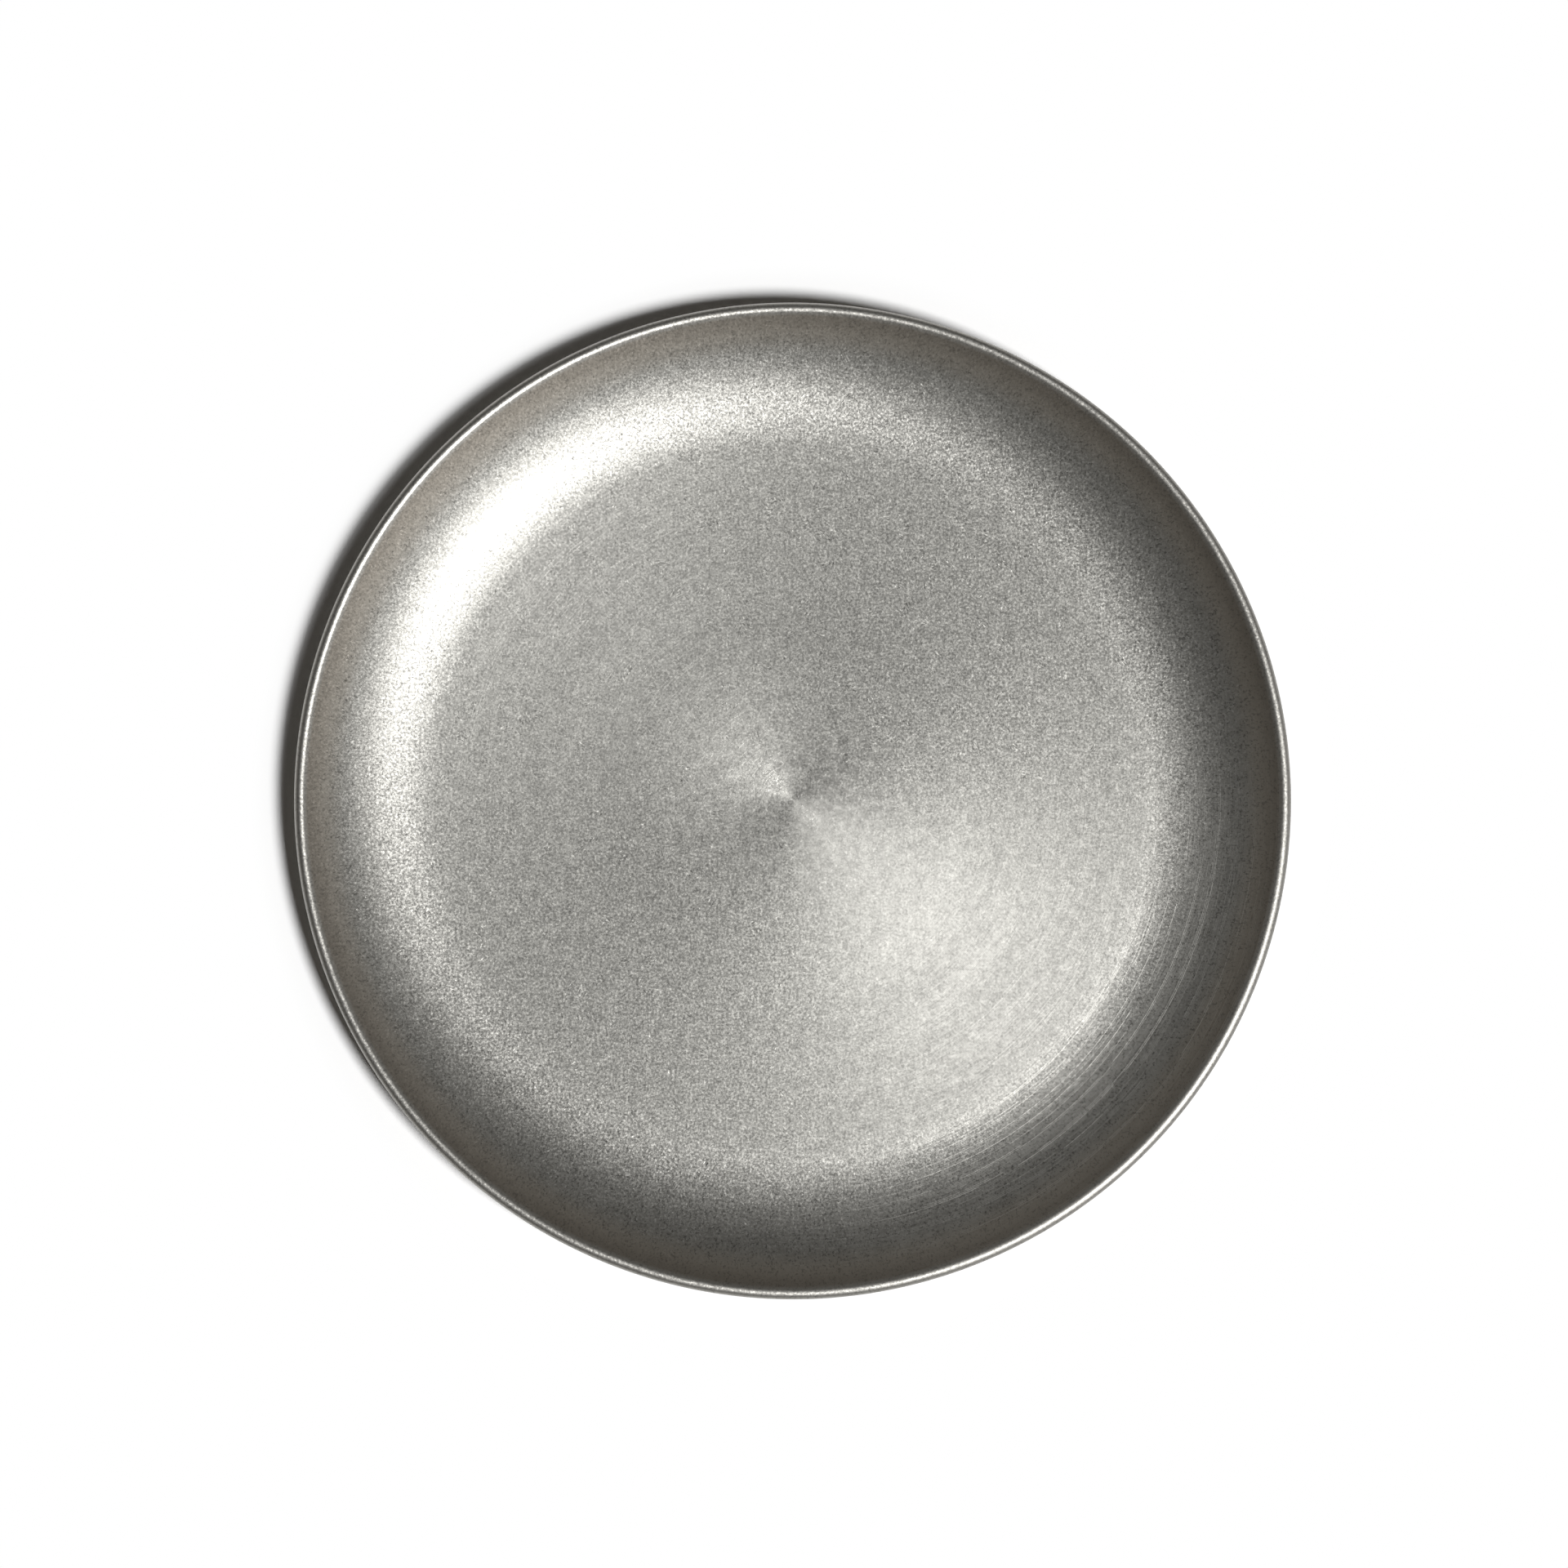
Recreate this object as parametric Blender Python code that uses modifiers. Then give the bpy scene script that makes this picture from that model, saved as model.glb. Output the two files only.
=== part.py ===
"""A shallow round charger plate of stonewashed steel.

The plate is one disc of thin sheet, pressed to a base and a flared wall. Its edge is rolled outwards and under,
over a ring of wire. The origin is the centre of the face that it rests on, with +Z up. Lengths are in metres.
"""

import math

import bpy
from mathutils import Vector

# Overall sizes
PLATE_DIAMETER = 0.305  # over the rolled rim
PLATE_HEIGHT = 0.019  # from the resting face to the top of the rim
SHEET_THICKNESS = 0.0008

# Rolled rim
BEAD_DIAMETER = 0.0040  # outside of the roll's round section
WIRE_CLEARANCE = 0.0003  # between the wire and the inside of the roll
SEAM_GAP = 0.0003  # between the sheet's cut edge and the underside of the wall

# Wall
FLARE_ANGLE = math.radians(37)  # slope of the wall's straight part
HEEL_RADIUS = 0.058  # of the bend from base to wall, at the middle of the sheet
LONGEST_HEEL = 0.95  # the most of the wall's rise that the bend may take up

# Base
RESTING_WIDTH = 0.008  # of the flat ring that the plate stands on
LIFT_RUN = 0.034  # from the resting ring out to the heel
BASE_LIFT = 0.0009  # rise of the base along that run
CENTRE_RISE = 0.0011  # of the middle of the base above the resting ring
DOME_SHARE = 0.80  # of the raised middle's radius that bulges, before it hollows towards the ring

# Facets
TURN_SEGMENTS = 72
WIRE_SIDES = 12
DOME_STEPS = 4
HOLLOW_STEPS = 3
LIFT_STEPS = 3
HEEL_STEPS = 8
ROLL_STEP = math.radians(20)  # the most that one facet of the roll turns

# Finishes: base colour, roughness
STONEWASHED_STEEL = ((0.33, 0.325, 0.305), 0.48)
PLAIN_WIRE = ((0.45, 0.45, 0.45), 0.35)

# Sizes that follow from those above
BEAD_RADIUS = BEAD_DIAMETER / 2
ROLL_RADIUS = BEAD_RADIUS - SHEET_THICKNESS / 2  # at the middle of the sheet
WIRE_RADIUS = BEAD_RADIUS - SHEET_THICKNESS - WIRE_CLEARANCE
BEAD_CENTRE = Vector((PLATE_DIAMETER / 2 - BEAD_RADIUS, PLATE_HEIGHT - BEAD_RADIUS))  # radius, height


def along(slope):
    """The direction of the sheet in section, where x is the radius and y the height."""
    return Vector((math.cos(slope), math.sin(slope)))


def across(slope):
    """The direction through the sheet, from its lower face to its upper face."""
    return Vector((-math.sin(slope), math.cos(slope)))


class SheetWalk:
    """A walk outwards along the middle of the sheet, in section, that keeps each place and slope."""

    def __init__(self, height):
        self.place = Vector((0, height))
        self.slope = 0.0
        self.stations = [(self.place.copy(), self.slope)]

    def step(self, distance, heading, slope_after):
        self.place += distance * along(heading)
        self.slope = slope_after
        self.stations.append((self.place.copy(), self.slope))

    def straight(self, length):
        self.step(length, self.slope, self.slope)

    def bend(self, radius, slope_after, steps):
        """An arc that leaves in the present direction and ends at the given slope."""
        turn = (slope_after - self.slope) / steps
        chord = 2 * radius * math.sin(abs(turn) / 2)
        for _ in range(steps):
            self.step(chord, self.slope + turn / 2, self.slope + turn)


def roll_end_slope():
    """The slope where the roll stops, so that its cut edge clears the underside of the wall."""
    reach = BEAD_RADIUS - SHEET_THICKNESS - SEAM_GAP
    return FLARE_ANGLE - 2 * math.pi + math.acos(reach / BEAD_RADIUS)


def middle_of_sheet():
    """The stations of the sheet from the centre of the base to the cut edge inside the roll."""
    resting_height = SHEET_THICKNESS / 2
    wall_top = BEAD_CENTRE + ROLL_RADIUS * across(FLARE_ANGLE)
    lift_slope = 2 * math.atan2(BASE_LIFT, LIFT_RUN)

    wall_rise = wall_top.y - resting_height - BASE_LIFT
    heel_rise_per_radius = math.cos(lift_slope) - math.cos(FLARE_ANGLE)
    heel_radius = min(HEEL_RADIUS, LONGEST_HEEL * wall_rise / heel_rise_per_radius)
    heel_run = heel_radius * (math.sin(FLARE_ANGLE) - math.sin(lift_slope))
    flare_rise = wall_rise - heel_radius * heel_rise_per_radius
    flare_run = flare_rise / math.tan(FLARE_ANGLE)

    resting_inner = wall_top.x - flare_run - heel_run - LIFT_RUN - RESTING_WIDTH
    dome_slope = 2 * math.atan2(CENTRE_RISE, resting_inner)
    dome_radius = DOME_SHARE * resting_inner / math.sin(dome_slope)
    hollow_radius = (1 - DOME_SHARE) * resting_inner / math.sin(dome_slope)

    walk = SheetWalk(resting_height + CENTRE_RISE)
    walk.bend(dome_radius, -dome_slope, DOME_STEPS)
    walk.bend(hollow_radius, 0, HOLLOW_STEPS)
    walk.straight(RESTING_WIDTH)
    walk.bend(LIFT_RUN / math.sin(lift_slope), lift_slope, LIFT_STEPS)
    walk.bend(heel_radius, FLARE_ANGLE, HEEL_STEPS)
    walk.straight(math.hypot(flare_run, flare_rise))
    # The roll has a station at its top and at its widest, which keeps the overall sizes exact.
    for slope_after in (0, -math.pi / 2, roll_end_slope()):
        steps = math.ceil(abs(slope_after - walk.slope) / ROLL_STEP)
        walk.bend(ROLL_RADIUS, slope_after, steps)
    return walk.stations


def sheet_section():
    """The outline of the sheet: out along its upper face, round the cut edge, back along its lower face."""
    half = SHEET_THICKNESS / 2
    stations = middle_of_sheet()
    upper = [place + half * across(slope) for place, slope in stations]
    lower = [place - half * across(slope) for place, slope in stations]
    return upper + lower[::-1]


def steel(name, finish):
    """A bare metal finish."""
    colour, roughness = finish
    material = bpy.data.materials.new(name)
    material.use_nodes = True
    shader = material.node_tree.nodes["Principled BSDF"]
    shader.inputs["Base Color"].default_value = (*colour, 1)
    shader.inputs["Roughness"].default_value = roughness
    shader.inputs["Metallic"].default_value = 1
    return material


def place_in_plate(obj, collection, origin, material):
    """Files a piece under the plate and gives it its finish."""
    for other in obj.users_collection:
        other.objects.unlink(obj)
    collection.objects.link(obj)
    obj.parent = origin
    obj.data.materials.append(material)


def make_plate_body():
    """The pressed sheet, turned about the plate's axis from its section."""
    points = [(point.x, 0, point.y) for point in sheet_section()]
    edges = [(i, i + 1) for i in range(len(points) - 1)]
    mesh = bpy.data.meshes.new("plate_body")
    mesh.from_pydata(points, edges, [])
    body = bpy.data.objects.new("plate_body", mesh)
    turned = body.modifiers.new("turned", "SCREW")
    turned.axis = "Z"
    turned.angle = 2 * math.pi
    turned.steps = TURN_SEGMENTS
    turned.render_steps = TURN_SEGMENTS
    turned.use_merge_vertices = True
    turned.merge_threshold = 0.00001
    turned.use_smooth_shade = True
    return body


def make_rim_wire():
    """The closed ring of wire that the rim is rolled over."""
    bpy.ops.mesh.primitive_torus_add(
        major_segments=TURN_SEGMENTS,
        minor_segments=WIRE_SIDES,
        major_radius=BEAD_CENTRE.x,
        minor_radius=WIRE_RADIUS,
        location=(0, 0, BEAD_CENTRE.y),
    )
    wire = bpy.context.object
    wire.name = "rim_wire"
    wire.data.name = "rim_wire"
    wire.data.shade_smooth()
    return wire


def main():
    for obj in list(bpy.data.objects):
        bpy.data.objects.remove(obj)

    plate = bpy.data.collections.new("charger_plate")
    bpy.context.scene.collection.children.link(plate)
    origin = bpy.data.objects.new("resting_centre", None)
    plate.objects.link(origin)

    place_in_plate(make_plate_body(), plate, origin, steel("stonewashed_steel", STONEWASHED_STEEL))
    place_in_plate(make_rim_wire(), plate, origin, steel("plain_wire", PLAIN_WIRE))


main()
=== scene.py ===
"""The charger plate as it was photographed.

A finely turned sheet with a stonewashed finish stands for the solid one. The table, the lamp, the dim room
and the camera are set as in the photograph. Lengths are in metres.
"""

import math

import bpy
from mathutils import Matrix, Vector


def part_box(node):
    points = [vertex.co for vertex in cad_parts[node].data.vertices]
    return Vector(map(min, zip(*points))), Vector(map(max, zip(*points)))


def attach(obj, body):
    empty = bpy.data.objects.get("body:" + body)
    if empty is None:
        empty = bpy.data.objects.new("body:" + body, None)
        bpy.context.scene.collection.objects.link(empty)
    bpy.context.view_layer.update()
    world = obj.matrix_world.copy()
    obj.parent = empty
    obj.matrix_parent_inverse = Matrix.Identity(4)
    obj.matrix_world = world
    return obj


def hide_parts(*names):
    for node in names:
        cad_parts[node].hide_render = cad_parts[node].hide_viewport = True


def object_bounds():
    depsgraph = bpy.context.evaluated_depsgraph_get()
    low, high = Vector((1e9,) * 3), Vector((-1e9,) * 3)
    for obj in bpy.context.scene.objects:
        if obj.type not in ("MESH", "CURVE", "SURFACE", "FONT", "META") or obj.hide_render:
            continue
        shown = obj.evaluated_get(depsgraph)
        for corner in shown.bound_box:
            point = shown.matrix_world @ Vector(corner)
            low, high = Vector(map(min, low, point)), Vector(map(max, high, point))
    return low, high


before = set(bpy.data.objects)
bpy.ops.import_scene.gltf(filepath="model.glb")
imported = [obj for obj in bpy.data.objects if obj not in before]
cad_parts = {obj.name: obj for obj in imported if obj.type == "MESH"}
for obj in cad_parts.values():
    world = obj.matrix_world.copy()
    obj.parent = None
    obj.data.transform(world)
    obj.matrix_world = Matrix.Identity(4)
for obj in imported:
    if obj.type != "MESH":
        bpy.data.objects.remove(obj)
cad_low, cad_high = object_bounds()
wire_low, wire_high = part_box("rim_wire")

# Plate sizes from the frame
PLATE_DIAMETER = cad_high.x - cad_low.x
PLATE_HEIGHT = cad_high.z
PLATE_RADIUS = PLATE_DIAMETER / 2
BEAD_HEIGHT = (wire_low.z + wire_high.z) / 2  # of the middle of the rolled rim
BEAD_RADIUS = PLATE_HEIGHT - BEAD_HEIGHT

# The rest of the section, as the solid has it
SHEET_THICKNESS = 0.0008
SEAM_GAP = 0.0003  # between the sheet's cut edge and the underside of the wall
FLARE_ANGLE = math.radians(37)
HEEL_RADIUS = 0.058
RESTING_WIDTH = 0.008
LIFT_RUN = 0.034
BASE_LIFT = 0.0009
CENTRE_RISE = 0.0011
DOME_SHARE = 0.80

# Facets of the turned sheet
TURN_SEGMENTS = 256
DOME_STEPS = 16
HOLLOW_STEPS = 10
LIFT_STEPS = 8
HEEL_STEPS = 28
ROLL_TOP_STEPS = 6
ROLL_SIDE_STEPS = 10
ROLL_UNDER_STEPS = 18
MERGE_DISTANCE = 0.00001
SHARP_EDGE = math.radians(50)

# Photograph's frame, in pixels
IMAGE_SIDE = 1920
PLATE_CENTRE_PIXEL = (972.0, 978.3)  # of the rim's plane, which leans a little in the view
PLATE_RADIUS_PIXELS = 610.5

# Camera, looking almost straight down
CAMERA_LEAN = (-0.019, -0.033)  # towards the photograph's lower left, for each metre up
CAMERA_DISTANCE = 1.2  # from the widest of the rim
SENSOR_WIDTH = 36.0  # millimetres

# Key lamp: a round soft box
KEY_AZIMUTH = math.radians(-37.2)
KEY_TILT = math.radians(24.3)  # from straight above
KEY_DISTANCE = 2.3
KEY_DIAMETER = 0.50
KEY_POWER = 58.0

# Dim room round the table, which darkens upwards
ROOM_AT_HORIZON = 0.25
ROOM_COLOUR = (1, 0.92, 0.81)

# White table
FLOOR_RADIUS = 12.0
FLOOR_SIDES = 96
FLOOR_DROP = 0.0001  # below the resting face, so that the faces don't coincide
FLOOR_WHITE = 0.97
SHADOW_REACH = 0.157  # the table shows the lamp's own light out to here
WHITE_FROM = 0.168  # and is plain white from here

# Rings of the steel's finish: where each comes in or goes out, in shares of the plate's radius
CENTRE_END = (0.02, 0.30)
BASE_HAIRLINES_START = (0.25, 0.55)
OUTER_START = (0.66, 0.80)
WALL_START = (0.68, 0.80)
HEEL_START = (0.70, 0.75)
UPPER_WALL_START = (0.76, 0.86)
HEEL_END = (0.79, 0.86)
HIGHLIGHT_END = (0.84, 0.92)
RIM_BAND_START = (0.900, 0.965)
DARK_BAND_START = (0.925, 0.975)
BEAD_START = (0.972, 0.979)

# Sides of the finish: where each comes in, in cosines of the angle from the middle of the side
# The scoured side faces the lamp, and its hairlines are painted lighter there, partly as painted glint
SCOURED_SIDE = math.radians(-40)  # the side with the most hairlines
SIDE_START = (0.5, 0.98)
BRIGHT_SIDE_START = (0.0, 0.6)

# Marks on the steel
FINE_GRAIN = {"Size": 0.0008, "Finer": 1.0, "Seed": 3.1}
BROAD_GRAIN = {"Size": 0.0034, "Finer": 2.0, "Seed": 41.3}
STROKES = {"Patch": 0.0030, "Length": 0.0016, "Width": 0.0005, "Share": 0.12, "Seed": 8.3}
HAIRLINES = {"Pitch": 0.00045, "Width": 0.00026, "Arcs": 6.0, "Share": 0.57, "Seed": 9.4}
GROOVE_SIZE = 0.00005
GROOVE_PATCH_SIZE = 0.0003
GROOVE_PATCHES = (0.46, 0.62)  # noise from which a patch has grooves
MOTTLE_SIZE = 0.006

# Patterns inside the groups of marks
NOISE_MEAN = 0.5
NOISE_ROUGHNESS = 0.6
DENT_ROUGHNESS = 0.9
STROKE_DEPTHS = (0.48, 0.62)
PATCH_SPREAD = 500  # keeps the strokes of two patches apart in the noise
HAIRLINE_EDGE = (0.25, 0.5)  # from its middle, in shares of its width
RING_STRIDE = 7.31  # keeps the hairlines of two rings apart in the noise
BUNDLE_RINGS = 16
BUNDLE_ARCS = 2
BUNDLE_STRENGTH = 0.9
HAIRLINE_FADE = 0.06

# Strength of the hairlines
HAIRLINES_ALL_OVER = 0.05
HAIRLINES_ON_SCOURED_BASE = 0.32
HAIRLINES_ON_SCOURED_WALL = 0.68  # on top of the base's
HAIRLINES_ON_OPPOSITE_BASE = 0.36

# Strength of the turned grooves
GROOVES_ALL_OVER = 0.06
GROOVES_AT_CENTRE = 0.14
GROOVES_OUTSIDE = 0.15

# Lean of the surface in each mark, as the tangent of its tilt
FINE_LEAN = 0.25
BROAD_LEAN = 0.11
STROKE_LEAN = 0.44
HAIRLINE_LEAN = 0.11
UPPER_HAIRLINE_LEAN = 0.10  # on top of the lower wall's
GROOVE_LEAN = 2.6
HEEL_LEAN = 0.026
CENTRE_LEAN = 0.016

# What a zone takes from a mark, or adds to it
TUMBLING_LOST_IN_RIM_BAND = 0.4
FINE_LOST_AT_CENTRE = 0.45
FINE_GAINED_ON_WALL = 0.28
FINE_LOST_ON_SCOURED_BASE = 0.35
FINE_LOST_IN_HAIRLINE = 0.8
STROKES_LOST_AT_CENTRE = 0.5
STROKES_LOST_ON_SCOURED_SIDE = 0.8

# Colours of the steel
BASE_DARK = (0.225, 0.221, 0.207)
BASE_LIGHT = (0.285, 0.281, 0.262)
# The outer ring and wall are painted lighter than the base, as painted reflection of the room
OUTER_SHEEN_DARK = (0.278, 0.273, 0.255)
OUTER_SHEEN_LIGHT = (0.348, 0.342, 0.321)
# The rim band is painted paler and browner than the steel, as painted reflection of the warm room; it
# darkens towards the bead
BAND_PALE_REFLECTION = (0.46, 0.424, 0.370)
BAND_DARK = (0.30, 0.275, 0.240)
BEAD_COLOUR = (0.38, 0.370, 0.345)
# Dark of the pits: painted shade in the dents
PIT_SHADE_COLOUR = (0.10, 0.098, 0.09)
HAIRLINE_COLOUR = (0.36, 0.353, 0.328)

# Strength of the pits' and hairlines' colours
FINE_SHARE_OF_PITS = 0.65
BROAD_SHARE_OF_PITS = 0.35
PIT_DEPTHS = (0.50, 0.70)
PITS_ALL_OVER = 0.18
PITS_ON_WALL = 0.52  # on top of those all over
# Fewer pits where the lamp's highlight falls on the wall, which paints that highlight lighter
PITS_LOST_IN_HIGHLIGHT = 0.48
# A hairline is painted lighter than the steel, partly a scratch's own tone and partly painted glint, and
# more on the base's side that faces the lamp
HAIRLINE_TINT = 0.3
LAMP_SIDE_HAIRLINE_GLINT = 0.2  # on top of a hairline's elsewhere

# Roughness of the steel
PLAIN_ROUGHNESS = 0.474
ROUGHER_MOTTLE = 0.04
ROUGHER_SCOURED_WALL = 0.045
SMOOTHER_WALL = 0.014
SMOOTHER_HAIRLINE = 0.05
SMOOTHER_GROOVE = 0.14
SMOOTHER_RIM_BAND = 0.05
SMOOTHER_CENTRE = 0.13
ANISOTROPY = 0.28
QUARTER_TURN = 0.25

# Wire
WIRE_DARK = (0.40, 0.40, 0.40)
WIRE_LIGHT = (0.52, 0.52, 0.51)
WIRE_MOTTLE_SCALE = 900
WIRE_ROUGHNESS = 0.28
ROUGHER_WIRE_MOTTLE = 0.12

# Sockets of node groups
NUMBER = "NodeSocketFloat"
VECTOR = "NodeSocketVector"


class Value:
    """A number in a node tree. Arithmetic with it places the Math nodes that work it out."""

    def __init__(self, socket):
        self.socket = socket

    def __add__(self, other):
        return work("ADD", self, other)

    def __sub__(self, other):
        return work("SUBTRACT", self, other)

    def __mul__(self, other):
        return work("MULTIPLY", self, other)

    def __truediv__(self, other):
        return work("DIVIDE", self, other)

    def __radd__(self, other):
        return work("ADD", other, self)

    def __rsub__(self, other):
        return work("SUBTRACT", other, self)

    def __rmul__(self, other):
        return work("MULTIPLY", other, self)

    def __neg__(self):
        return work("MULTIPLY", self, -1)


def feed(socket, value):
    """Links a value or an output to a socket, or sets the socket where it is a plain number or vector."""
    if isinstance(value, Value):
        value = value.socket
    if isinstance(value, bpy.types.NodeSocket):
        socket.id_data.links.new(value, socket)
    else:
        socket.default_value = value


def place(tree, kind, inputs=None, **settings):
    """Adds a node with its settings and inputs."""
    node = tree.nodes.new(kind)
    for name, setting in settings.items():
        setattr(node, name, setting)
    for name, value in (inputs or {}).items():
        feed(node.inputs[name], value)
    return node


def work(operation, *values):
    """Places a Math node in the tree that the values are in."""
    tree = next(value.socket.id_data for value in values if isinstance(value, Value))
    node = place(tree, "ShaderNodeMath", operation=operation)
    for socket, value in zip(node.inputs, values):
        feed(socket, value)
    return Value(node.outputs[0])


def sine(angle):
    return work("SINE", angle) if isinstance(angle, Value) else math.sin(angle)


def cosine(angle):
    return work("COSINE", angle) if isinstance(angle, Value) else math.cos(angle)


def from_axis(x, y):
    """The distance from the plate's axis."""
    return work("SQRT", x * x + y * y)


def ramp(value, start, end):
    """0 up to start, 1 from end, and smooth between them."""
    node = place(
        value.socket.id_data,
        "ShaderNodeMapRange",
        {"Value": value, "From Min": start, "From Max": end},
        interpolation_type="SMOOTHSTEP",
    )
    return Value(node.outputs["Result"])


def combine(tree, x, y, z):
    return place(tree, "ShaderNodeCombineXYZ", {"X": x, "Y": y, "Z": z}).outputs["Vector"]


def separate(tree, vector):
    node = place(tree, "ShaderNodeSeparateXYZ", {"Vector": vector})
    return [Value(output) for output in node.outputs]


def separate_colour(tree, colour):
    node = place(tree, "ShaderNodeSeparateColor", {"Color": colour})
    return [Value(output) for output in node.outputs]


def scaled(vector, amount):
    node = place(vector.id_data, "ShaderNodeVectorMath", {0: vector, "Scale": amount}, operation="SCALE")
    return node.outputs["Vector"]


def added(first, second):
    node = place(first.id_data, "ShaderNodeVectorMath", {0: first, 1: second}, operation="ADD")
    return node.outputs["Vector"]


def grain(position, size, detail):
    """Noise with features of about the given size."""
    noise = {"Vector": position, "Scale": 1 / size, "Detail": detail, "Roughness": NOISE_ROUGHNESS}
    return Value(place(position.id_data, "ShaderNodeTexNoise", noise).outputs["Fac"])


def blend(amount, first, second):
    """A colour that goes from the first to the second as the amount goes from 0 to 1."""
    node = place(amount.socket.id_data, "ShaderNodeMix", data_type="RGBA")
    usable = [socket for socket in node.inputs if socket.enabled]
    for socket, value in zip(usable, (amount, first, second)):
        feed(socket, (*value, 1) if isinstance(value, tuple) else value)
    return next(socket for socket in node.outputs if socket.enabled)


def marks_from(group, position, sizes):
    """Places a group of marks with its sizes, and gives its outputs."""
    inputs = {"Position": position, **sizes}
    return place(position.id_data, "ShaderNodeGroup", inputs, node_tree=group).outputs


class SheetWalk:
    """A walk outwards along the middle of the sheet, in section, that lays an arc or line for each run."""

    def __init__(self, tree, height):
        self.tree = tree
        self.radius = 0.0
        self.height = height
        self.slope = 0.0
        self.runs = []

    def bend(self, bend_radius, slope_after, steps, upwards):
        """An arc that leaves in the present direction and ends at the given slope."""
        side = 1 if upwards else -1
        centre_radius = self.radius - side * bend_radius * sine(self.slope)
        centre_height = self.height + side * bend_radius * cosine(self.slope)
        inputs = {
            "Resolution": steps + 1,
            "Radius": bend_radius,
            "Start Angle": self.slope - side * math.pi / 2,
            "Sweep Angle": slope_after - self.slope,
        }
        arc = place(self.tree, "GeometryNodeCurveArc", inputs, mode="RADIUS")
        moved = {
            "Geometry": arc.outputs["Curve"],
            "Translation": combine(self.tree, centre_radius, centre_height, 0),
        }
        self.runs.append(place(self.tree, "GeometryNodeTransform", moved).outputs["Geometry"])
        self.radius = centre_radius + side * bend_radius * sine(slope_after)
        self.height = centre_height - side * bend_radius * cosine(slope_after)
        self.slope = slope_after

    def straight(self, length):
        """A line that goes on in the present direction."""
        start = combine(self.tree, self.radius, self.height, 0)
        self.radius = self.radius + length * cosine(self.slope)
        self.height = self.height + length * sine(self.slope)
        end = combine(self.tree, self.radius, self.height, 0)
        line = place(self.tree, "GeometryNodeCurvePrimitiveLine", {"Start": start, "End": end})
        self.runs.append(line.outputs["Curve"])


def walk_the_sheet(tree, size):
    """Lays the section from the centre of the base to the cut edge inside the roll."""
    thickness = size["Sheet Thickness"]
    bead_radius = size["Bead Diameter"] / 2
    roll_radius = bead_radius - thickness / 2
    flare = size["Flare Angle"]
    wall_top_radius = size["Diameter"] / 2 - bead_radius - roll_radius * sine(flare)
    wall_top_height = size["Height"] - bead_radius + roll_radius * cosine(flare)

    lift_slope = 2 * work("ARCTAN2", size["Base Lift"], size["Lift Run"])
    heel_rise = size["Heel Radius"] * (cosine(lift_slope) - cosine(flare))
    heel_run = size["Heel Radius"] * (sine(flare) - sine(lift_slope))
    flare_rise = wall_top_height - thickness / 2 - size["Base Lift"] - heel_rise
    flare_length = flare_rise / sine(flare)
    flare_run = flare_length * cosine(flare)
    raised_radius = wall_top_radius - flare_run - heel_run - size["Lift Run"] - size["Resting Width"]
    dome_slope = 2 * work("ARCTAN2", size["Centre Rise"], raised_radius)
    dome_bend = raised_radius / sine(dome_slope)
    seam_reach = bead_radius - thickness - size["Seam Gap"]
    roll_end = flare - 2 * math.pi + work("ARCCOSINE", seam_reach / bead_radius)

    walk = SheetWalk(tree, thickness / 2 + size["Centre Rise"])
    walk.bend(dome_bend * size["Dome Share"], -dome_slope, DOME_STEPS, upwards=False)
    walk.bend(dome_bend * (1 - size["Dome Share"]), 0, HOLLOW_STEPS, upwards=True)
    walk.straight(size["Resting Width"])
    walk.bend(size["Lift Run"] / sine(lift_slope), lift_slope, LIFT_STEPS, upwards=True)
    walk.bend(size["Heel Radius"], flare, HEEL_STEPS, upwards=True)
    walk.straight(flare_length)
    walk.bend(roll_radius, 0, ROLL_TOP_STEPS, upwards=False)
    walk.bend(roll_radius, -math.pi / 2, ROLL_SIDE_STEPS, upwards=False)
    walk.bend(roll_radius, roll_end, ROLL_UNDER_STEPS, upwards=False)
    return walk.runs


def make_turned_sheet_tree(sizes, material):
    """A node tree that turns the sheet's section about the plate's axis, from the named sizes."""
    tree = bpy.data.node_groups.new("turned_sheet", "GeometryNodeTree")
    tree.interface.new_socket("Geometry", in_out="OUTPUT", socket_type="NodeSocketGeometry")
    for name in sizes:
        tree.interface.new_socket(name, in_out="INPUT", socket_type=NUMBER)
    given = place(tree, "NodeGroupInput")
    size = {name: Value(given.outputs[name]) for name in sizes}

    section = place(tree, "GeometryNodeJoinGeometry")
    for run in walk_the_sheet(tree, size):
        tree.links.new(run, section.inputs["Geometry"])
    # The section is swept round a circle at the rim, so its radius is measured from there. Its heights turn
    # over, because a swept curve's second axis points down.
    from_rim = {
        "Geometry": section.outputs["Geometry"],
        "Translation": combine(tree, -size["Diameter"] / 2, 0, 0),
        "Scale": (1, -1, 1),
    }
    section_at_rim = place(tree, "GeometryNodeTransform", from_rim)
    circle = place(
        tree,
        "GeometryNodeCurvePrimitiveCircle",
        {"Resolution": TURN_SEGMENTS, "Radius": size["Diameter"] / 2},
        mode="RADIUS",
    )
    turned = {"Curve": circle.outputs["Curve"], "Profile Curve": section_at_rim.outputs["Geometry"]}
    turn = place(tree, "GeometryNodeCurveToMesh", turned)
    merge = place(
        tree,
        "GeometryNodeMergeByDistance",
        {"Geometry": turn.outputs["Mesh"], "Distance": MERGE_DISTANCE},
    )
    realized = place(tree, "GeometryNodeRealizeInstances", {"Geometry": merge.outputs["Geometry"]})
    finish = {"Geometry": realized.outputs["Geometry"], "Material": material}
    painted = place(tree, "GeometryNodeSetMaterial", finish)
    out = place(tree, "NodeGroupOutput")
    tree.links.new(painted.outputs["Geometry"], out.inputs["Geometry"])
    return tree


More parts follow.
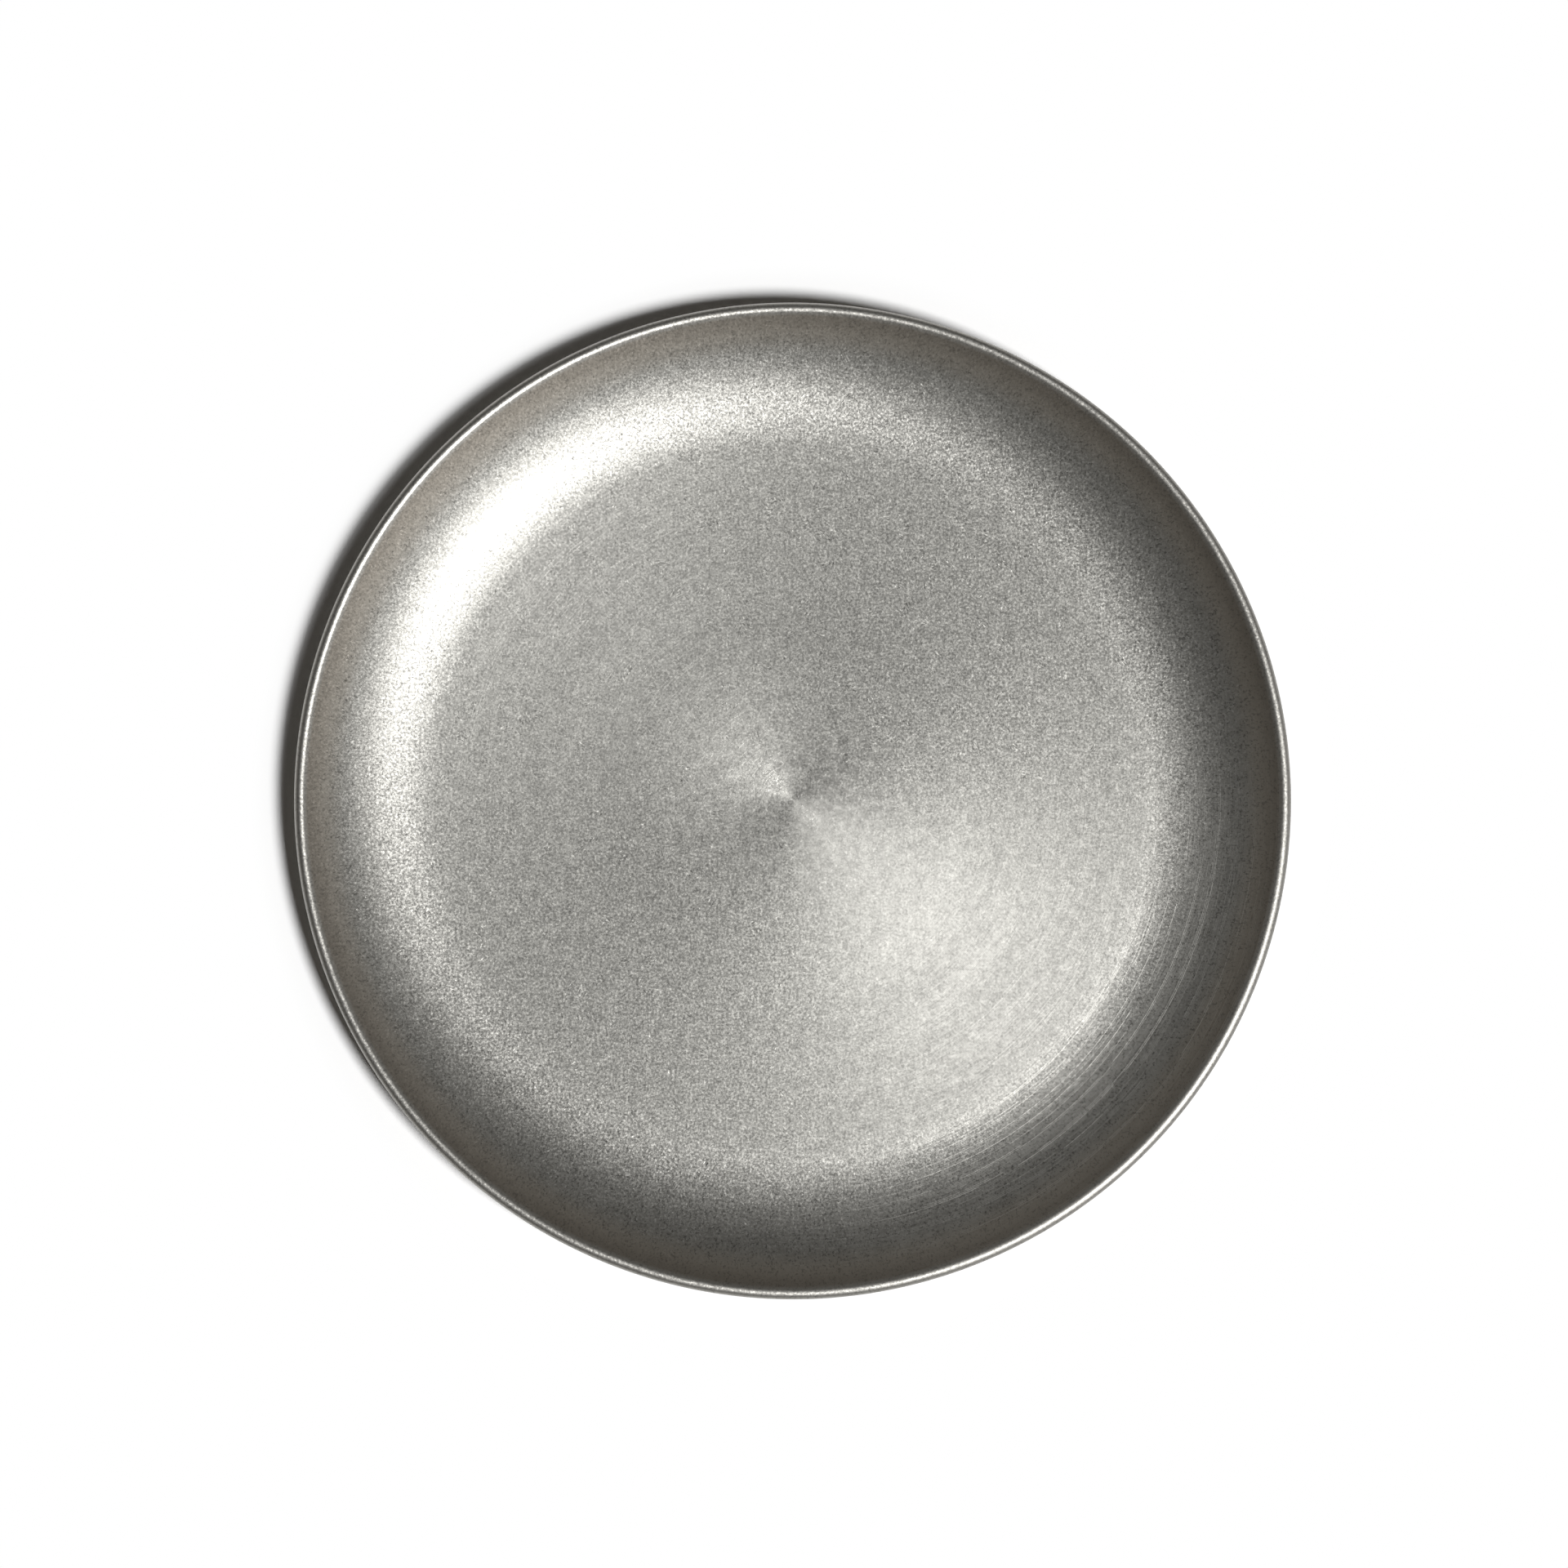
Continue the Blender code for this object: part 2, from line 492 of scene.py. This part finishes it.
def make_plate(material):
    """The pressed and rolled sheet, as one plain mesh."""
    sizes = {
        "Diameter": PLATE_DIAMETER,
        "Height": PLATE_HEIGHT,
        "Sheet Thickness": SHEET_THICKNESS,
        "Bead Diameter": 2 * BEAD_RADIUS,
        "Seam Gap": SEAM_GAP,
        "Flare Angle": FLARE_ANGLE,
        "Heel Radius": HEEL_RADIUS,
        "Resting Width": RESTING_WIDTH,
        "Lift Run": LIFT_RUN,
        "Base Lift": BASE_LIFT,
        "Centre Rise": CENTRE_RISE,
        "Dome Share": DOME_SHARE,
    }
    tree = make_turned_sheet_tree(sizes, material)
    maker = bpy.data.objects.new("turned_sheet", bpy.data.meshes.new("turned_sheet"))
    bpy.context.scene.collection.objects.link(maker)
    turned = maker.modifiers.new("turned", "NODES")
    turned.node_group = tree
    for socket in tree.interface.items_tree:
        if socket.in_out == "INPUT":
            turned[socket.identifier] = sizes[socket.name]
    thickened = maker.modifiers.new("thickened", "SOLIDIFY")
    thickened.thickness = SHEET_THICKNESS
    thickened.offset = 0
    thickened.use_even_offset = True

    shape = maker.evaluated_get(bpy.context.evaluated_depsgraph_get())
    mesh = bpy.data.meshes.new_from_object(shape)
    bpy.data.objects.remove(maker)
    mesh.name = "stonewashed_plate"
    mesh.shade_smooth()
    mesh.set_sharp_from_angle(angle=SHARP_EDGE)
    plate = bpy.data.objects.new("stonewashed_plate", mesh)
    bpy.context.scene.collection.objects.link(plate)
    return plate


def new_material(name):
    """A material with a bare Principled shader, and that shader."""
    material = bpy.data.materials.new(name)
    material.use_nodes = True
    return material, material.node_tree.nodes["Principled BSDF"]


def new_group(name, inputs, outputs):
    """A shader node group with named sockets, its inputs by name and its output node."""
    group = bpy.data.node_groups.new(name, "ShaderNodeTree")
    for socket_name, kind in inputs.items():
        group.interface.new_socket(socket_name, in_out="INPUT", socket_type=kind)
    for socket_name, kind in outputs.items():
        group.interface.new_socket(socket_name, in_out="OUTPUT", socket_type=kind)
    given = place(group, "NodeGroupInput")
    return group, given.outputs, place(group, "NodeGroupOutput")


def make_tumble_grain_group():
    """Dents all over, as tumbling with stones leaves them.

    Lean tilts each dent its own way. Depth is about a half on average, and more where a dent is deep.
    """
    sizes = {"Size": NUMBER, "Finer": NUMBER, "Seed": NUMBER}
    group, given, out = new_group(
        "tumble_grain", {"Position": VECTOR, **sizes}, {"Lean": VECTOR, "Depth": NUMBER}
    )
    size, finer, seed = (Value(given[name]) for name in sizes)
    x, y, _ = separate(group, given["Position"])
    dents = place(
        group,
        "ShaderNodeTexNoise",
        {
            "Vector": combine(group, x / size + seed, y / size - seed, 0),
            "Scale": 1,
            "Detail": finer,
            "Roughness": DENT_ROUGHNESS,
        },
        noise_dimensions="2D",
    )
    depth, lean_x, lean_y = separate_colour(group, dents.outputs["Color"])
    feed(out.inputs["Lean"], combine(group, lean_x - NOISE_MEAN, lean_y - NOISE_MEAN, 0))
    feed(out.inputs["Depth"], depth)
    return group


def make_tumble_strokes_group():
    """Hatches of a few short strokes, in scattered patches that each have their own direction.

    Lean tilts the surface at random from stroke to stroke, and Mark is 1 in the middle of the strokes.
    """
    sizes = {"Patch": NUMBER, "Length": NUMBER, "Width": NUMBER, "Share": NUMBER, "Seed": NUMBER}
    group, given, out = new_group(
        "tumble_strokes", {"Position": VECTOR, **sizes}, {"Lean": VECTOR, "Mark": NUMBER}
    )
    patch, length, width, struck, seed = (Value(given[name]) for name in sizes)
    x, y, _ = separate(group, given["Position"])
    patches = place(
        group,
        "ShaderNodeTexVoronoi",
        {"Vector": combine(group, x / patch + seed, y / patch - seed, 0), "Scale": 1},
        voronoi_dimensions="2D",
    )
    turn, chance, apart = separate_colour(group, patches.outputs["Color"])
    turned = place(
        group,
        "ShaderNodeVectorRotate",
        {"Vector": given["Position"], "Angle": turn * math.pi},
        rotation_type="Z_AXIS",
    )
    lengthways, widthways, _ = separate(group, turned.outputs["Vector"])
    along_strokes = combine(group, lengthways / length + PATCH_SPREAD * apart, widthways / width, 0)
    strokes = place(
        group,
        "ShaderNodeTexNoise",
        {"Vector": along_strokes, "Scale": 1, "Detail": 1},
        noise_dimensions="2D",
    )
    depth, lean_x, lean_y = separate_colour(group, strokes.outputs["Color"])
    feed(out.inputs["Lean"], combine(group, lean_x - NOISE_MEAN, lean_y - NOISE_MEAN, 0))
    feed(out.inputs["Mark"], ramp(depth, *STROKE_DEPTHS) * work("LESS_THAN", chance, struck))
    return group


def make_spin_marks_group():
    """Hairlines that follow circles round the plate's axis, in bundles of arcs that come and go.

    Lean is how far each hairline tilts, most of them a little. Mark is 1 along its middle.
    """
    sizes = {"Pitch": NUMBER, "Width": NUMBER, "Arcs": NUMBER, "Share": NUMBER, "Seed": NUMBER}
    group, given, out = new_group(
        "spin_marks", {"Position": VECTOR, **sizes}, {"Lean": NUMBER, "Mark": NUMBER}
    )
    pitch, width, arcs, drawn, seed = (Value(given[name]) for name in sizes)
    x, y, _ = separate(group, given["Position"])
    radius = from_axis(x, y)
    ring = work("FLOOR", radius / pitch)
    from_middle = work("ABSOLUTE", radius - (ring + 0.5) * pitch)
    line = 1 - ramp(from_middle / width, *HAIRLINE_EDGE)

    along_ring = combine(group, ring * RING_STRIDE + seed, arcs * x / radius, arcs * y / radius)
    runs = place(group, "ShaderNodeTexNoise", {"Vector": along_ring, "Scale": 1, "Detail": 0})
    near_by = combine(
        group,
        radius / pitch / BUNDLE_RINGS + seed,
        BUNDLE_ARCS * x / radius,
        BUNDLE_ARCS * y / radius,
    )
    bundles = place(group, "ShaderNodeTexNoise", {"Vector": near_by, "Scale": 1, "Detail": 1})
    bundled = (Value(bundles.outputs["Fac"]) - NOISE_MEAN) * BUNDLE_STRENGTH
    present = Value(runs.outputs["Fac"]) + bundled
    mark = line * ramp(present, 1 - drawn, 1 + HAIRLINE_FADE - drawn)
    own = place(group, "ShaderNodeTexWhiteNoise", {"W": ring + seed}, noise_dimensions="1D")
    slant = Value(own.outputs["Value"])
    feed(out.inputs["Lean"], slant * slant * mark)
    feed(out.inputs["Mark"], mark)
    return group


class StonewashedFinish:
    """The marks on the steel, and what they do to its lean, colour and roughness.

    A zone is 1 where it is full and 0 away from it.
    """

    def __init__(self, tree):
        self.tree = tree
        self.position = place(tree, "ShaderNodeTexCoord").outputs["Object"]
        self.lay_zones()
        self.lay_marks()

    def lay_zones(self):
        """The rings and sides of the plate."""
        x, y, _ = separate(self.tree, self.position)
        radius = from_axis(x, y)
        self.outwards = combine(self.tree, x / radius, y / radius, 0)
        share = radius / PLATE_RADIUS
        self.centre = 1 - ramp(share, *CENTRE_END)
        self.beyond_centre = ramp(share, *BASE_HAIRLINES_START)
        self.outer = ramp(share, *OUTER_START)
        self.wall = ramp(share, *WALL_START)
        self.base = 1 - self.wall
        self.heel = ramp(share, *HEEL_START) * (1 - ramp(share, *HEEL_END))
        self.upper_wall = ramp(share, *UPPER_WALL_START)
        self.rim_band = ramp(share, *RIM_BAND_START)
        self.dark_band = ramp(share, *DARK_BAND_START)
        self.bead = ramp(share, *BEAD_START)

        self.to_scoured_side = (x * math.cos(SCOURED_SIDE) + y * math.sin(SCOURED_SIDE)) / radius
        self.scoured = ramp(self.to_scoured_side, *SIDE_START)
        self.opposite = ramp(-self.to_scoured_side, *SIDE_START)
        # The side where the lamp's highlight falls on the wall; the pits' painted shade is thinned there
        bright_side = ramp(-self.to_scoured_side, *BRIGHT_SIDE_START)
        self.highlight = bright_side * (1 - ramp(share, *HIGHLIGHT_END))

    def lay_marks(self):
        """The grain, strokes, hairlines, turned grooves and mottle."""
        tumble_grain = make_tumble_grain_group()
        self.fine = marks_from(tumble_grain, self.position, FINE_GRAIN)
        self.broad = marks_from(tumble_grain, self.position, BROAD_GRAIN)
        self.strokes = marks_from(make_tumble_strokes_group(), self.position, STROKES)
        self.hairlines = marks_from(make_spin_marks_group(), self.position, HAIRLINES)
        self.mottle = grain(self.position, MOTTLE_SIZE, detail=3)
        self.tumbled = 1 - TUMBLING_LOST_IN_RIM_BAND * self.rim_band

        scoured_base = HAIRLINES_ON_SCOURED_BASE * self.beyond_centre
        scoured_wall = HAIRLINES_ON_SCOURED_WALL * self.wall
        scratched = HAIRLINES_ALL_OVER + (scoured_base + scoured_wall) * self.scoured
        scratched = scratched + HAIRLINES_ON_OPPOSITE_BASE * self.base * self.opposite
        self.scratched = scratched * self.tumbled
        self.hairline = Value(self.hairlines["Mark"]) * self.scratched

        patches = grain(self.position, GROOVE_PATCH_SIZE, detail=1)
        self.groove = ramp(patches, *GROOVE_PATCHES) * (1 - self.rim_band)
        grooved = GROOVES_ALL_OVER + GROOVES_AT_CENTRE * self.centre + GROOVES_OUTSIDE * self.outer
        self.turned = self.groove * grooved

    def lean(self):
        """What the marks add to the surface's normal."""
        fine = 1 - FINE_LOST_AT_CENTRE * self.centre + FINE_GAINED_ON_WALL * self.wall
        fine = fine - FINE_LOST_ON_SCOURED_BASE * self.scoured * self.base
        fine = FINE_LEAN * self.tumbled * fine * (1 - FINE_LOST_IN_HAIRLINE * self.hairline)
        lean = scaled(self.fine["Lean"], fine)
        lean = added(lean, scaled(self.broad["Lean"], BROAD_LEAN * self.tumbled))

        strokes = STROKE_LEAN * Value(self.strokes["Mark"]) * self.tumbled
        strokes = strokes * (1 - STROKES_LOST_AT_CENTRE * self.centre)
        strokes = strokes * (1 - STROKES_LOST_ON_SCOURED_SIDE * self.scoured)
        lean = added(lean, scaled(self.strokes["Lean"], strokes))

        # Every hairline leans towards the scoured side. The photograph's heel starts a little further out
        # than the solid's, and its centre is flatter.
        outwards = HAIRLINE_LEAN + UPPER_HAIRLINE_LEAN * self.upper_wall
        outwards = outwards * Value(self.hairlines["Lean"]) * self.scratched * self.to_scoured_side
        outwards = outwards + HEEL_LEAN * self.heel - CENTRE_LEAN * self.centre
        lean = added(lean, scaled(self.outwards, outwards))

        grooves = grain(self.position, GROOVE_SIZE, detail=0) - NOISE_MEAN
        return added(lean, scaled(self.outwards, grooves * GROOVE_LEAN * self.turned))

    def colour(self):
        """The steel's tone, with painted reflection in its lighter outer ring and pale brown rim band, and
        pits of painted shade and hairlines painted lighter, partly for their glint, over them.
        """
        base = blend(self.mottle, BASE_DARK, BASE_LIGHT)
        # The outer ring is lighter: painted reflection of the room on the wall
        tone = blend(self.outer, base, blend(self.mottle, OUTER_SHEEN_DARK, OUTER_SHEEN_LIGHT))
        # Painted reflection of the warm room in the rim band, darker towards the bead
        band = blend(self.dark_band, BAND_PALE_REFLECTION, BAND_DARK)
        band = blend(self.bead, band, BEAD_COLOUR)
        colour = blend(self.rim_band, tone, band)

        # Dark specks in the deeper dents are painted shade, thinned where the lamp's highlight falls, which
        # paints that highlight
        dents = FINE_SHARE_OF_PITS * Value(self.fine["Depth"])
        dents = dents + BROAD_SHARE_OF_PITS * Value(self.broad["Depth"])
        pit = ramp(dents, *PIT_DEPTHS) * self.tumbled
        pitted = PITS_ALL_OVER + (PITS_ON_WALL - PITS_LOST_IN_HIGHLIGHT * self.highlight) * self.wall
        colour = blend(pitted * pit, colour, PIT_SHADE_COLOUR)

        # Hairlines are painted lighter, partly as painted glint, and most on the base's side that faces the
        # lamp
        tint = HAIRLINE_TINT + LAMP_SIDE_HAIRLINE_GLINT * self.scoured * self.base
        return blend(tint * self.hairline, colour, HAIRLINE_COLOUR)

    def roughness(self):
        """Satin, and smoother in the grooves and the rim band."""
        # A hairline is smoother than the steel round it, but rougher on the upper wall.
        smoothing = SMOOTHER_HAIRLINE * self.hairline * (1 - 2 * self.upper_wall)
        smoothing = smoothing + SMOOTHER_GROOVE * self.turned + SMOOTHER_RIM_BAND * self.rim_band
        smoothing = smoothing + SMOOTHER_CENTRE * self.centre * self.groove
        roughness = PLAIN_ROUGHNESS - SMOOTHER_WALL * self.wall + ROUGHER_MOTTLE * self.mottle
        return roughness + ROUGHER_SCOURED_WALL * self.scoured * self.upper_wall - smoothing


def make_stonewashed_steel():
    """Satin steel that was tumbled with stones, with a smoother band inside the rim that is painted pale
    brown for the warm room's reflection.
    """
    material, shader = new_material("stonewashed_steel")
    tree = material.node_tree
    finish = StonewashedFinish(tree)
    facing = place(tree, "ShaderNodeNewGeometry").outputs["Normal"]
    leaning = place(tree, "ShaderNodeVectorMath", {0: added(facing, finish.lean())}, operation="NORMALIZE")
    feed(shader.inputs["Normal"], leaning.outputs["Vector"])
    feed(shader.inputs["Base Color"], finish.colour())
    feed(shader.inputs["Roughness"], finish.roughness())
    shader.inputs["Metallic"].default_value = 1
    shader.inputs["Anisotropic"].default_value = ANISOTROPY
    shader.inputs["Anisotropic Rotation"].default_value = QUARTER_TURN
    tangent = place(tree, "ShaderNodeTangent", direction_type="RADIAL", axis="Z")
    feed(shader.inputs["Tangent"], tangent.outputs["Tangent"])
    return material


def make_plain_wire():
    """Drawn wire with a fine mottle."""
    material, shader = new_material("plain_wire")
    tree = material.node_tree
    position = place(tree, "ShaderNodeTexCoord").outputs["Object"]
    noise = place(tree, "ShaderNodeTexNoise", {"Vector": position, "Scale": WIRE_MOTTLE_SCALE, "Detail": 3})
    mottle = Value(noise.outputs["Fac"])
    feed(shader.inputs["Base Color"], blend(mottle, WIRE_DARK, WIRE_LIGHT))
    feed(shader.inputs["Roughness"], WIRE_ROUGHNESS + ROUGHER_WIRE_MOTTLE * mottle)
    shader.inputs["Metallic"].default_value = 1
    return material


def make_white_table_material():
    """White that shows the plate's shadow, and is plain white in the picture away from it."""
    material = bpy.data.materials.new("white_table")
    material.use_nodes = True
    tree = material.node_tree
    tree.nodes.clear()
    lit = place(tree, "ShaderNodeBsdfDiffuse", {"Color": (FLOOR_WHITE, FLOOR_WHITE, FLOOR_WHITE, 1)})
    white = place(tree, "ShaderNodeEmission", {"Color": (1, 1, 1, 1), "Strength": 1})
    x, y, _ = separate(tree, place(tree, "ShaderNodeTexCoord").outputs["Object"])
    away = ramp(from_axis(x, y), SHADOW_REACH, WHITE_FROM)
    light_path = place(tree, "ShaderNodeLightPath").outputs
    seen_in_pieces = work(
        "MAXIMUM",
        Value(light_path["Is Glossy Ray"]),
        Value(light_path["Is Transmission Ray"]),
    )
    seen = work("MAXIMUM", Value(light_path["Is Camera Ray"]), seen_in_pieces)
    mix = place(
        tree,
        "ShaderNodeMixShader",
        {0: away * seen, 1: lit.outputs["BSDF"], 2: white.outputs["Emission"]},
    )
    out = place(tree, "ShaderNodeOutputMaterial")
    tree.links.new(mix.outputs["Shader"], out.inputs["Surface"])
    return material


def make_floor():
    """The table that the plate rests on."""
    bpy.ops.mesh.primitive_circle_add(
        vertices=FLOOR_SIDES,
        radius=FLOOR_RADIUS,
        fill_type="NGON",
        location=(0, 0, -FLOOR_DROP),
    )
    floor = bpy.context.object
    floor.name = "table"
    floor.data.materials.append(make_white_table_material())
    return floor


def light_the_room():
    """A dim room, darker towards the zenith."""
    world = bpy.data.worlds.new("room")
    bpy.context.scene.world = world
    world.use_nodes = True
    tree = world.node_tree
    background = tree.nodes["Background"]
    _, _, upwards = separate(tree, place(tree, "ShaderNodeTexCoord").outputs["Generated"])
    down_from_zenith = 1 - work("MAXIMUM", upwards, 0)
    feed(background.inputs["Strength"], ROOM_AT_HORIZON * down_from_zenith * down_from_zenith)
    background.inputs["Color"].default_value = (*ROOM_COLOUR, 1)


def hang_key_lamp():
    """The round soft box at the photograph's lower right."""
    lamp = bpy.data.lights.new("key_lamp", "AREA")
    lamp.shape = "DISK"
    lamp.size = KEY_DIAMETER
    lamp.energy = KEY_POWER
    key = bpy.data.objects.new("key_lamp", lamp)
    towards = Vector(
        (
            math.sin(KEY_TILT) * math.cos(KEY_AZIMUTH),
            math.sin(KEY_TILT) * math.sin(KEY_AZIMUTH),
            math.cos(KEY_TILT),
        )
    )
    key.location = KEY_DISTANCE * towards
    key.rotation_euler = towards.to_track_quat("Z", "Y").to_euler()
    bpy.context.scene.collection.objects.link(key)


def set_camera():
    """Almost straight above the table, with the plate where the photograph has it."""
    metres_per_pixel = PLATE_RADIUS / PLATE_RADIUS_PIXELS
    view_width = IMAGE_SIDE * metres_per_pixel
    lens = bpy.data.cameras.new("camera")
    lens.sensor_width = SENSOR_WIDTH
    lens.lens = SENSOR_WIDTH * CAMERA_DISTANCE / view_width
    camera = bpy.data.objects.new("camera", lens)
    from_plate = Vector(
        (
            (IMAGE_SIDE / 2 - PLATE_CENTRE_PIXEL[0]) * metres_per_pixel,
            (PLATE_CENTRE_PIXEL[1] - IMAGE_SIDE / 2) * metres_per_pixel,
            CAMERA_DISTANCE,
        )
    )
    turn = Vector((0, 0, 1)).rotation_difference(Vector((*CAMERA_LEAN, 1)))
    camera.location = Vector((0, 0, BEAD_HEIGHT)) + turn @ from_plate
    camera.rotation_euler = turn.to_euler()
    bpy.context.scene.collection.objects.link(camera)
    bpy.context.scene.camera = camera


def dress_plate():
    """Puts the finished sheet in place of its solid, and gives the wire its finish."""
    plate = make_plate(make_stonewashed_steel())
    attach(plate, "root")
    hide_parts("plate_body")
    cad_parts["rim_wire"].material_slots[0].material = make_plain_wire()


dress_plate()
make_floor()
light_the_room()
hang_key_lamp()
set_camera()
bpy.context.scene.view_settings.view_transform = "Standard"
